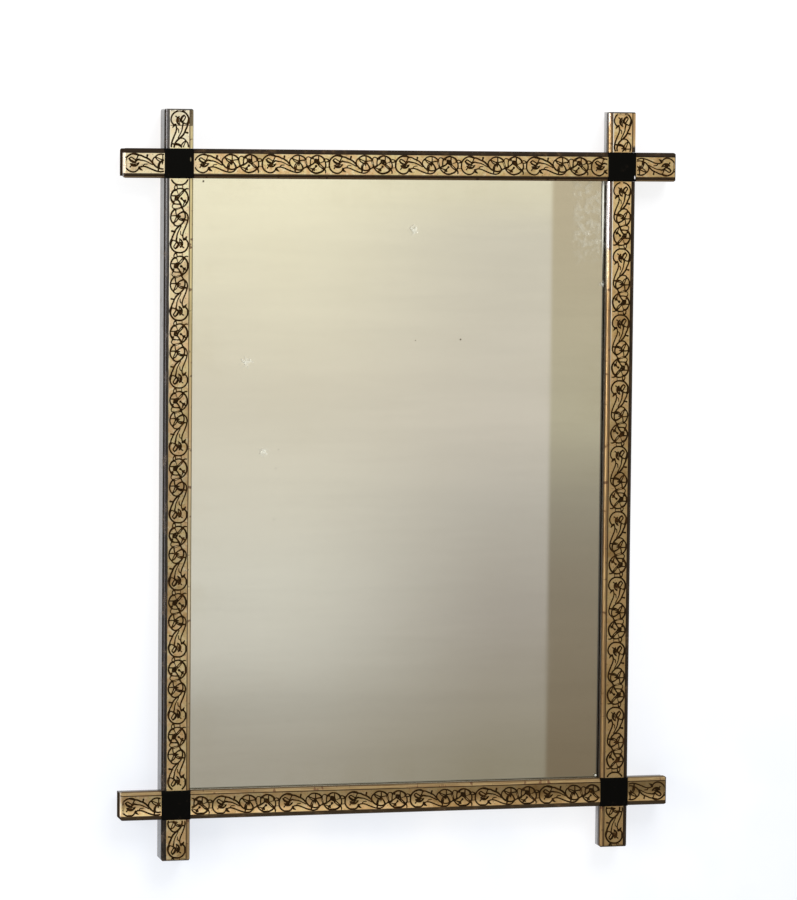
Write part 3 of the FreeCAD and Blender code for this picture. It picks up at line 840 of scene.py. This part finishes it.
def rounded(stroke):
    """A stroke with its two ends drawn out into round tips."""
    for _ in range(2):
        stroke = stroke[::-1]
        (before, _), (tip, width) = stroke[-2:]
        ahead = (tip - before).normalized() * width / 2
        stroke = stroke + [(tip + ahead * reach, width * share) for reach, share in ROUND_END]
    return stroke


def kept_runs(stroke, low, high):
    """The parts of a stroke that lie between two places along the member."""
    run = []
    for point, width in stroke:
        if low + STROKE_HOLD * width < point.x < high - STROKE_HOLD * width:
            run.append((point, width))
        elif run:
            yield run
            run = []
    if run:
        yield run


class Drawing:
    """The vine on one member as one mesh. Its points go along the member, then towards the upper edge."""

    def __init__(self, node):
        self.middle, self.run, self.rise, self.pitch, self.parts = VINE_RUNS[node]
        low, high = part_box(node)
        axis = 0 if self.run[0] else 2
        sign = self.run[0] or self.run[1]
        self.near, self.far = sorted((sign * low[axis], sign * high[axis]))
        self.hand = random.Random(VINE_SEED)
        self.vertices, self.faces = [], []

    def spans(self):
        """Where the near horn, the span between the blocks and the far horn start and end."""
        first, second = (-STILE_X, STILE_X) if self.run[0] else (-TOP_Z, -BOTTOM_Z)
        half = MEMBER_WIDTH / 2 + VINE_MARGIN
        return [(self.near + VINE_END, first - half), (first + half, second - half),
                (second + half, self.far - VINE_END)]

    def to_place(self, point, height):
        """The place of a point so high over the flat, which turns down at the member's rounded ends."""
        past = END_ROUND - min(point.x - self.near, self.far - point.x)
        if past > 0:
            height -= END_ROUND - math.sqrt(END_ROUND ** 2 - min(past, END_ROUND) ** 2)
        x = self.middle[0] + self.run[0] * point.x + self.rise[0] * point.y
        z = self.middle[1] + self.run[1] * point.x + self.rise[1] * point.y
        return (x, FRONT_Y - height, z)

    def on_flat(self, point, width):
        """A point held back from the edges of the flat, and from the member's ends when it is close."""
        limit = FLAT_HALF - width / 2
        near, far = self.near + VINE_END, self.far - VINE_END
        place = point.x
        if near - VINE_SQUEEZE < place < near + width / 2:
            place = near + width / 2
        if far - width / 2 < place < far + VINE_SQUEEZE:
            place = far - width / 2
        return Vector((place, max(-limit, min(limit, point.y))))

    def ribbon(self, stroke, rise):
        """A thin closed strip along a stroke, let a little into the flat."""
        first = len(self.vertices)
        last = len(stroke) - 1
        for number, (point, width) in enumerate(stroke):
            ahead = stroke[min(number + 1, last)][0] - stroke[max(number - 1, 0)][0]
            across = Vector((-ahead.y, ahead.x)).normalized() * width / 2
            for side in (across, -across):
                for height in (rise, -VINE_SINK):
                    self.vertices.append(self.to_place(point + side, height))
        for number in range(last):
            a = first + 4 * number
            b = a + 4
            self.faces.extend([(a, a + 2, b + 2, b), (a + 1, b + 1, b + 3, a + 3), (a, b, b + 1, a + 1),
                               (a + 2, a + 3, b + 3, b + 2)])
        end = first + 4 * last
        self.faces.extend([(first, first + 1, first + 3, first + 2), (end, end + 2, end + 3, end + 1)])

    def knot(self, middle, radius):
        """A thin closed disc."""
        first = len(self.vertices)
        turns = [math.tau * number / KNOT_SIDES for number in range(KNOT_SIDES)]
        for height in (VINE_RISE - VINE_LIFT, -VINE_SINK):
            for turn in turns:
                edge = middle + Vector((math.cos(turn), math.sin(turn))) * radius
                self.vertices.append(self.to_place(edge, height))
        top = list(range(first, first + KNOT_SIDES))
        under = [number + KNOT_SIDES for number in top]
        self.faces.extend([top[::-1], under])
        for number in range(KNOT_SIDES):
            after = (number + 1) % KNOT_SIDES
            self.faces.append((top[number], top[after], under[after], under[number]))

    def motif(self, strokes, middle, way, low, high):
        """One pitch of the vine, kept within a span, with each stroke a little off as by hand."""
        for number, stroke in enumerate(strokes):
            slip = Vector([self.hand.uniform(-VINE_SLIP, VINE_SLIP) for _ in range(2)])
            weight = self.hand.uniform(*VINE_WEIGHT)
            drawn = []
            for point, width in stroke:
                place = self.on_flat(middle + way * (point + slip), width * weight)
                drawn.append((place, width * weight))
            for kept in kept_runs(drawn, low, high):
                if len(kept) > 2:
                    self.ribbon(rounded(kept), VINE_RISE + number * VINE_LIFT)
        for along, across, diameter in VINE_KNOTS:
            radius = diameter / 2 * MM * self.hand.uniform(*KNOT_GROWTH)
            place = self.on_flat(middle + way * Vector((along, across)) * MM, 2 * radius)
            if low + KNOT_HOLD * radius < place.x < high - KNOT_HOLD * radius:
                self.knot(place, radius)


def vine(node, ink):
    """The vine on one member: on both horns and on the span between the corner blocks."""
    drawing = Drawing(node)
    strokes = motif_strokes()
    for (low, high), (ring, way, shift) in zip(drawing.spans(), drawing.parts):
        start = math.floor((low / MM - ring) / drawing.pitch) - 1
        stop = math.ceil((high / MM - ring) / drawing.pitch) + 1
        for repeat in range(start, stop + 1):
            middle = Vector((ring + repeat * drawing.pitch, shift)) * MM
            drawing.motif(strokes, middle, way, low, high)
    piece = new_piece("vine_" + node, drawing.vertices, drawing.faces, ink)
    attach(piece, FRAME_BODY)


# Stage, light and camera

STAGE_REACH = 8.0
WALL_GAP = 0.004
FLOOR_Z = -1.3
ROOM_Y = -6.0
ROOM_LOW = (-2.0, -6.0)
ROOM_HIGH = (6.0, 4.0)
WHITE = (1.0, 1.0, 1.0)
WALL_GLOW = 0.79
# The wall's painted bluish shade low down, and the heights between which it fades out
LOW_BLUE_SHADE, LOW_WALL = (0.84, 0.875, 0.94), (-0.75, -0.35)


def card(name, corners, material):
    """A flat part of the stage."""
    piece = new_piece(name, corners, [(0, 1, 2, 3)], material)
    return piece


def hide(piece, *rays):
    """Keeps a piece from some kinds of rays."""
    for kind in rays:
        setattr(piece, "visible_" + kind, False)


def only_reflected(piece):
    """Keeps a part of the room out of the picture: it is seen in polished things alone."""
    hide(piece, "camera", "shadow", "diffuse")
    piece.data.materials[0].cycles.emission_sampling = "NONE"


def wall():
    """A white wall behind the mirror, with painted bluish shade low down, unseen from its back and casting
    no shade on it.
    """
    s = new_material("wall_paint")
    place = s.coordinates()
    blotch = s.noise(place, 3.0, detail=4.0)
    paint = s.node("BsdfDiffuse", Color=s.mix(blotch, (0.25, 0.25, 0.255), (0.24, 0.245, 0.25)))
    # Painted bluish shade low on the wall
    low = s.times(s.fall(s.split(place)[2], *LOW_WALL), s.band(blotch, 0.3, 0.6))
    glow = s.glow(s.mix(low, WHITE, LOW_BLUE_SHADE), WALL_GLOW)
    both = s.node("AddShader")
    s.set(both.inputs[0], paint.outputs[0])
    s.set(both.inputs[1], glow.outputs[0])
    clear = s.node("BsdfTransparent")
    s.show(s.blend(s.node("NewGeometry").outputs["Backfacing"], both, clear))
    r, y = STAGE_REACH, WALL_GAP
    piece = card("wall", [(-r, y, FLOOR_Z), (r, y, FLOOR_Z), (r, y, r), (-r, y, r)], s.owner)
    hide(piece, "shadow", "diffuse")


def floor():
    """A plain pale floor."""
    s = new_material("floor_paint")
    shade = s.noise(s.coordinates(), 2.0)
    s.surface(Base_Color=s.mix(shade, (0.72, 0.71, 0.69), (0.68, 0.67, 0.65)), Roughness=0.7)
    r, z = STAGE_REACH, FLOOR_Z
    piece = card("floor", [(-r, -r, z), (r, -r, z), (r, r, z), (-r, r, z)], s.owner)
    hide(piece, "glossy", "transmission")


# How light the room is, by height: on its near side, before its far corner and past the corner
ROOM_LIGHT = [
    [(-6.0, (0.14, 0.12, 0.09)), (-2.2, (0.27, 0.24, 0.19)), (-1.55, (0.41, 0.375, 0.32)),
     (-1.42, (0.47, 0.44, 0.39)), (-1.28, (0.63, 0.6, 0.54)), (-1.1, (0.68, 0.65, 0.58)),
     (-0.6, (0.74, 0.68, 0.565)), (-0.1, (0.94, 0.875, 0.675)), (1.0, (1.1, 1.05, 0.89)),
     (4.0, (0.8, 0.77, 0.68))],
    [(-6.0, (0.1, 0.08, 0.06)), (-1.6, (0.3, 0.265, 0.2)), (-1.2, (0.41, 0.37, 0.33)),
     (-0.9, (0.53, 0.49, 0.44)), (-0.7, (0.64, 0.585, 0.515)), (-0.2, (0.69, 0.64, 0.54)),
     (-0.09, (0.79, 0.73, 0.565)), (1.0, (0.85, 0.8, 0.66)), (4.0, (0.6, 0.57, 0.5))],
    [(-6.0, (0.08, 0.06, 0.04)), (-1.6, (0.21, 0.165, 0.11)), (-1.1, (0.27, 0.23, 0.175)),
     (-0.9, (0.335, 0.3, 0.235)), (-0.7, (0.49, 0.445, 0.335)), (-0.1, (0.55, 0.47, 0.335)),
     (1.0, (0.56, 0.5, 0.37)), (4.0, (0.4, 0.35, 0.28))]]
# Where the near side's light fades out across the room, and where the corner stands
ROOM_FADE = (1.14, 1.82)
ROOM_CORNER = 1.895
CORNER_SOFT = 0.008


def room():
    """What the mirror looks at: a room's far side, light at the upper left, dark at the lower right."""
    (x0, z0), (x1, z1) = ROOM_LOW, ROOM_HIGH
    s = new_material("room_light")
    x, _, z = s.split(s.coordinates())
    near, middle, far = (s.ramp(z, stops) for stops in ROOM_LIGHT)
    light = s.mix(s.band(x, *ROOM_FADE), near, middle)
    light = s.mix(s.band(x, ROOM_CORNER - CORNER_SOFT, ROOM_CORNER + CORNER_SOFT), light, far)
    s.show(s.glow(light, 1.0))
    corners = [(x0, ROOM_Y, z0), (x0, ROOM_Y, z1), (x1, ROOM_Y, z1), (x1, ROOM_Y, z0)]
    only_reflected(card("room", corners, s.owner))


# Windows on the left: the middle, half width, foot, head and brightness of each
WINDOWS = {"window": ((-2.94, -1.5), 0.28, -1.1, 1.2, 8.0),
           "far_window": ((-2.1, -2.5), 0.8, -0.2, 0.5, 1.7)}
WINDOW_SILL, SILL_SOFT = -0.22, 0.05


def window(name):
    """A bright window on the left that the bevels catch, dimmer below its sill."""
    middle, half, low, high, strength = WINDOWS[name]
    s = new_material(name + "_light")
    z = s.split(s.coordinates())[2]
    light = s.mix(s.band(z, WINDOW_SILL, WINDOW_SILL + SILL_SOFT), (0.3, 0.29, 0.3), (1.0, 0.97, 0.98))
    s.show(s.glow(light, strength))
    middle = Vector(middle)
    across = Vector((-middle.y, middle.x)).normalized() * half
    (ax, ay), (bx, by) = middle - across, middle + across
    only_reflected(card(name, [(ax, ay, low), (bx, by, low), (bx, by, high), (ax, ay, high)], s.owner))


# The light around as polished things see it, by height and from left to right, and for all others
SKY_BY_HEIGHT = [(-1.0, (0.12, 0.09, 0.06)), (-0.5, (0.19, 0.155, 0.11)), (-0.24, (0.33, 0.3, 0.24)),
                 (-0.08, (0.62, 0.58, 0.48)), (0.02, (0.8, 0.76, 0.66)), (0.35, (0.72, 0.71, 0.7)),
                 (1.0, (0.45, 0.44, 0.44))]
SKY_ACROSS = [(-1.0, (0.42, 0.42, 0.44)), (-0.5, (0.45, 0.45, 0.46)), (-0.1, (0.95, 0.95, 0.95)),
              (1.0, (0.95, 0.95, 0.97))]
SKY_EVEN = (0.6, 0.6, 0.61)


def sky():
    """An even soft light, white to the camera, and a plain room to what is polished."""
    world = bpy.data.worlds.new("studio")
    bpy.context.scene.world = world
    s = Shader(world, "OutputWorld")
    world.cycles.sampling_method = "NONE"
    x, _, z = s.split(s.coordinates("Generated"))
    plain_room = s.tint(s.ramp(z, SKY_BY_HEIGHT), s.ramp(x, SKY_ACROSS))
    polished, even, white = (s.node("Background", Color=colour)
                             for colour in (plain_room, SKY_EVEN, WHITE))
    path = s.node("LightPath").outputs
    mirrored = s.most(path["Is Glossy Ray"], path["Is Transmission Ray"])
    s.show(s.blend(path["Is Camera Ray"], s.blend(mirrored, even, polished), white))


# Lamps that face the mirror's middle: place, width and height, and power in watts
LAMPS = {"side_lamp": ((-3.0, -1.6, 0.1), (1.0, 1.4), 50),
         "ceiling_lamp": ((0.8, -2.4, 2.2), (2.0, 1.5), 80),
         "back_lamp": ((0.6, 2.6, 0.9), (1.6, 1.6), 70)}


def lamp(name):
    """A soft lamp that polished things don't show."""
    place, size, power = LAMPS[name]
    light = bpy.data.lights.new(name, "AREA")
    light.shape = "RECTANGLE"
    light.size, light.size_y = size
    light.energy = power
    piece = bpy.data.objects.new(name, light)
    piece.location = place
    turn = Vector((0.0, 0.0, MIDDLE_Z)) - piece.location
    piece.rotation_euler = turn.to_track_quat("-Z", "Y").to_euler()
    hide(piece, "glossy", "transmission")
    bpy.context.scene.collection.objects.link(piece)


# The view of the photograph: standing to the left of the mirror, a little above its middle
CAMERA_PLACE = (-1.0415, -4.1996, 0.0141)
CAMERA_AZIMUTH = math.radians(-13.976)
CAMERA_ELEVATION = math.radians(4.245)
CAMERA_ROLL = math.radians(0.523)
CAMERA_LENS = 162.51
CAMERA_SENSOR = 36.0
CAMERA_REACH = 100.0


def camera():
    lens = bpy.data.cameras.new("camera")
    lens.lens = CAMERA_LENS
    lens.sensor_width = CAMERA_SENSOR
    lens.clip_end = CAMERA_REACH
    piece = bpy.data.objects.new("camera", lens)
    bpy.context.scene.collection.objects.link(piece)
    azimuth, elevation = CAMERA_AZIMUTH, CAMERA_ELEVATION
    back = Vector((math.sin(azimuth) * math.cos(elevation), -math.cos(azimuth) * math.cos(elevation),
                   math.sin(elevation)))
    level = Vector((math.cos(azimuth), math.sin(azimuth), 0.0))
    right = level * math.cos(CAMERA_ROLL) + back.cross(level) * math.sin(CAMERA_ROLL)
    turn = Matrix((right, back.cross(right), back)).transposed()
    piece.matrix_world = Matrix.Translation(CAMERA_PLACE) @ turn.to_4x4()
    bpy.context.scene.camera = piece


dress_frame()
silver()
ink = vine_ink("vine_ink")
for member in VINE_RUNS:
    vine(member, ink)
wall()
floor()
room()
for opening in WINDOWS:
    window(opening)
sky()
for name in LAMPS:
    lamp(name)
camera()
bpy.context.scene.view_settings.view_transform = "Standard"
